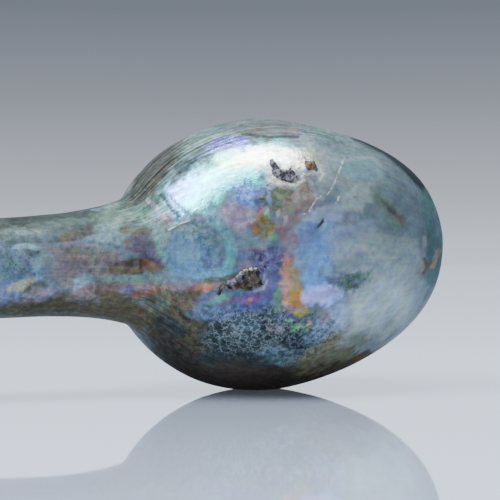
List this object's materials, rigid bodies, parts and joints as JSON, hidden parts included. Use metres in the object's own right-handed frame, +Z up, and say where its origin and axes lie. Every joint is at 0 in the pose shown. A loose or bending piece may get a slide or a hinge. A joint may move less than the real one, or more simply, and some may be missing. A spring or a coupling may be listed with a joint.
{
  "type": "roman glass unguentarium",
  "caption": "Free-blown glass bottle for oil or scent, lying on its side: an egg-shaped bulb, a long slender neck and a broad flared rim, hollow and open at the mouth.",
  "frame": {"origin": "middle of the small flat under the bulb, on the surface that the bottle lies on", "axes": "+Z up; +X along the bottle from the mouth towards the base; -Z square to the flat under the bulb"},
  "size_m": [0.1453, 0.0547, 0.0543],
  "materials": {
    "weathered_glass": "weathered, pearly and iridescent"
  },
  "bodies": {
    "root": {"glass_vessel": "weathered_glass"}
  },
  "joints": []
}
